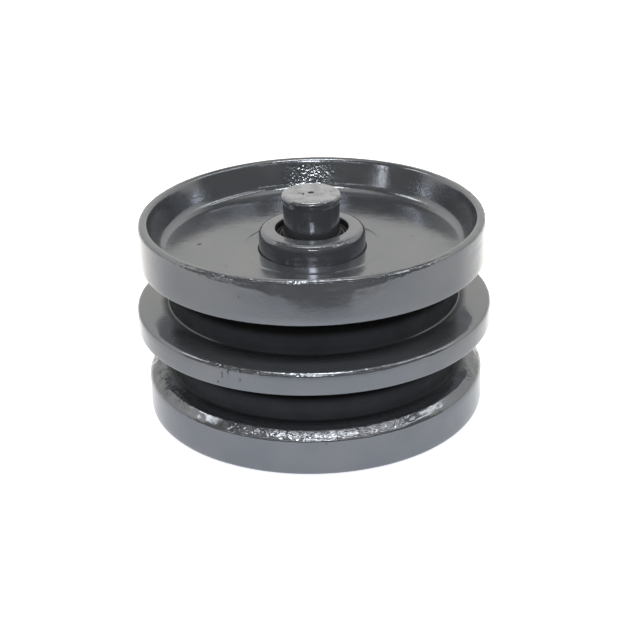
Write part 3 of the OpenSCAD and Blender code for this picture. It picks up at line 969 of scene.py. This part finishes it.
class PULLEY_OT_bearings(bpy.types.Operator):
    """Finish the bearings, spacers, snap rings and washer inside the hub"""

    bl_idname = "pulley.bearings"
    bl_label = "Bearings"

    def execute(self, context):
        look = context.scene.pulley_paint
        finishes = {
            "bearing_steel": steel_material("bearing steel", look.bright_steel, 0.22, 900),
            "spring_steel": steel_material("spring steel", look.dark_steel, 0.42, 500),
            "seal_rubber": bpy.data.materials["seal rubber"],
        }
        for part in frame["record"]["subparts"]:
            node = frame["nodes"][part["node"]]
            if not node.hide_render:
                node.data.materials.clear()
                node.data.materials.append(finishes[part["material_slot"]])
        return {"FINISHED"}


# Stage


def add_floor(stage):
    """A plain pale floor that glows as painted light, its glow and colour darkened towards the camera as
    painted shade, and warmer behind the pulley and at its sides.
    """
    bm = bmesh.new()
    bmesh.ops.create_grid(bm, x_segments=1, y_segments=1, size=6)
    mesh = bpy.data.meshes.new("floor")
    bm.to_mesh(mesh)
    bm.free()
    floor = bpy.data.objects.new("floor", mesh)
    bpy.context.scene.collection.objects.link(floor)
    material, tree, shader = start_material("pale floor")
    place = add_split(tree, add_place(tree))
    # Painted light: the floor's glow, which fades towards the camera as painted shade and rises behind the
    # pulley.
    front = add_range(tree, place["Y"], -0.42, -0.18, 0.08 * stage.floor_glow, stage.floor_glow)
    foot = add_math(tree, "MULTIPLY", front, add_range(tree, place["Y"], -0.24, -0.1, 1, 1.12))
    glow = add_math(tree, "MULTIPLY", foot, add_range(tree, place["Y"], -0.02, 0.18, 1, 1.8))
    aside = add_math(tree, "MULTIPLY", place["X"], place["X"])
    glow = add_math(tree, "MULTIPLY", glow, add_range(tree, aside, 0.012, 0.06, 1, 0.78))
    # Painted shade: the floor's colour darkens towards the camera.
    near = add_range(tree, place["Y"], -0.42, -0.18, 0, 1)
    pale = add_mix(tree, near, (0.1, 0.1, 0.1), (0.5, 0.5, 0.5))
    tree.links.new(pale, shader.inputs["Base Color"])
    shader.inputs["Roughness"].default_value = 0.9
    warm = add_range(tree, place["Y"], -0.08, 0.16, 0, 1)
    warm = add_math(tree, "MAXIMUM", warm, add_range(tree, aside, 0.006, 0.04, 0, 0.85))
    light = add_mix(tree, warm, (0.96, 0.99, 1.05), (1, 0.97, 0.92))
    tree.links.new(light, shader.inputs["Emission Color"])
    tree.links.new(glow, shader.inputs["Emission Strength"])
    mesh.materials.append(material)


def add_room(stage):
    """Pale room behind the pulley, dark on the camera's side."""
    world = bpy.data.worlds.new("room")
    bpy.context.scene.world = world
    world.use_nodes = True
    tree = world.node_tree
    back = tree.nodes["Background"]
    way = add_split(tree, tree.nodes.new("ShaderNodeTexCoord").outputs["Generated"])
    back.inputs["Color"].default_value = (1, 0.97, 0.9, 1)
    behind = add_range(tree, way["Y"], -0.12, 0.06, 0.19, 1)
    high = add_range(tree, way["Z"], 0.3, 0.5, stage.room_light, 1.2 * stage.room_light)
    walls = add_math(tree, "MULTIPLY", behind, high)
    overhead = add_range(tree, way["Z"], 0.82, 0.96, 0, 1)
    below = add_math(tree, "MULTIPLY", walls, add_range(tree, way["Z"], 0.6, 0.85, 1, 0))
    ceiling = add_math(tree, "MULTIPLY", overhead, stage.ceiling_light)
    tree.links.new(add_math(tree, "ADD", below, ceiling), back.inputs["Strength"])


def add_lamp(name, azimuth, elevation, distance, width, height, watts):
    """A rectangular lamp that faces the pulley, at an azimuth from the camera's side in degrees."""
    data = bpy.data.lights.new(name, "AREA")
    data.shape = "RECTANGLE"
    data.size = width
    data.size_y = height
    data.energy = watts
    lamp = bpy.data.objects.new(name, data)
    aim = 0.08 * AXIS
    around = math.radians(azimuth)
    rise = math.radians(elevation)
    level = Vector((math.sin(around), -math.cos(around), 0))
    way = level * math.cos(rise) + AXIS * math.sin(rise)
    lamp.location = way * distance + aim
    lamp.rotation_mode = "QUATERNION"
    lamp.rotation_quaternion = (-way).to_track_quat("-Z", "Y")
    bpy.context.scene.collection.objects.link(lamp)


def add_camera(stage):
    """The camera at the photograph's viewing angle."""
    data = bpy.data.cameras.new("camera")
    data.lens = stage.lens
    data.sensor_width = 36
    camera = bpy.data.objects.new("camera", data)
    place = Vector(stage.camera_place)
    way = (Vector(stage.camera_aim) - place).normalized()
    right = way.cross(AXIS).normalized()
    right = Matrix.Rotation(-stage.camera_roll, 3, way) @ right
    up = right.cross(way)
    camera.matrix_world = Matrix.Translation(place) @ Matrix((right, up, -way)).transposed().to_4x4()
    bpy.context.scene.collection.objects.link(camera)
    bpy.context.scene.camera = camera


class PULLEY_OT_stage(bpy.types.Operator):
    """Make the floor, the room, the lamps and the camera"""

    bl_idname = "pulley.stage"
    bl_label = "Stage"

    def execute(self, context):
        stage = context.scene.pulley_stage
        add_floor(stage)
        add_room(stage)
        add_lamp("key", azimuth=0, elevation=27.5, distance=1.2, width=0.26, height=0.12, watts=3.2)
        add_lamp("key strip", azimuth=0, elevation=28, distance=1.2, width=1.8, height=0.03, watts=1.2)
        add_lamp("overhead", azimuth=0, elevation=70, distance=1.06, width=0.6, height=0.14, watts=5)
        for name, elevation in (("right strip", 42), ("right upper strip", 56)):
            add_lamp(name, azimuth=82, elevation=elevation, distance=1.3, width=1, height=0.08, watts=1.5)
        add_lamp("left strip", azimuth=-100, elevation=44, distance=1.3, width=0.4, height=0.15, watts=1.2)
        add_lamp("left front", azimuth=-55, elevation=14, distance=1.4, width=0.07, height=0.3, watts=0.6)
        add_camera(stage)
        context.scene.view_settings.view_transform = "Standard"
        return {"FINISHED"}


class PULLEY_PT_sidebar(bpy.types.Panel):
    """Buttons that make the pieces one by one"""

    bl_label = "Idler pulley"
    bl_idname = "PULLEY_PT_sidebar"
    bl_space_type = "VIEW_3D"
    bl_region_type = "UI"
    bl_category = "Pulley"

    def draw(self, context):
        for maker in MAKERS:
            self.layout.operator(maker.bl_idname)
        for group in GROUPS:
            values = getattr(context.scene, group)
            for name in values.bl_rna.properties.keys():
                if name not in ("rna_type", "name"):
                    self.layout.prop(values, name)


MAKERS = (
    PULLEY_OT_casting,
    PULLEY_OT_ring,
    PULLEY_OT_shaft,
    PULLEY_OT_seal,
    PULLEY_OT_cap,
    PULLEY_OT_bearings,
    PULLEY_OT_stage,
)
GROUPS = {
    "pulley_casting": CastingSizes,
    "pulley_shaft": ShaftSizes,
    "pulley_paint": PaintLook,
    "pulley_stage": StageLook,
}


def register():
    """Adds the classes and the sizes to Blender."""
    for name, group in GROUPS.items():
        bpy.utils.register_class(group)
        setattr(bpy.types.Scene, name, PointerProperty(type=group))
    for maker in MAKERS:
        bpy.utils.register_class(maker)
    bpy.utils.register_class(PULLEY_PT_sidebar)


def unregister():
    """Takes the classes and the sizes out of Blender again."""
    bpy.utils.unregister_class(PULLEY_PT_sidebar)
    for maker in reversed(MAKERS):
        bpy.utils.unregister_class(maker)
    for name, group in GROUPS.items():
        delattr(bpy.types.Scene, name)
        bpy.utils.unregister_class(group)


def main():
    """Registers the classes and makes every piece in order, then the stage."""
    register()
    bpy.ops.pulley.casting()
    bpy.ops.pulley.ring()
    bpy.ops.pulley.shaft()
    bpy.ops.pulley.seal()
    bpy.ops.pulley.cap()
    bpy.ops.pulley.bearings()
    bpy.ops.pulley.stage()


if __name__ == "__main__":
    main()
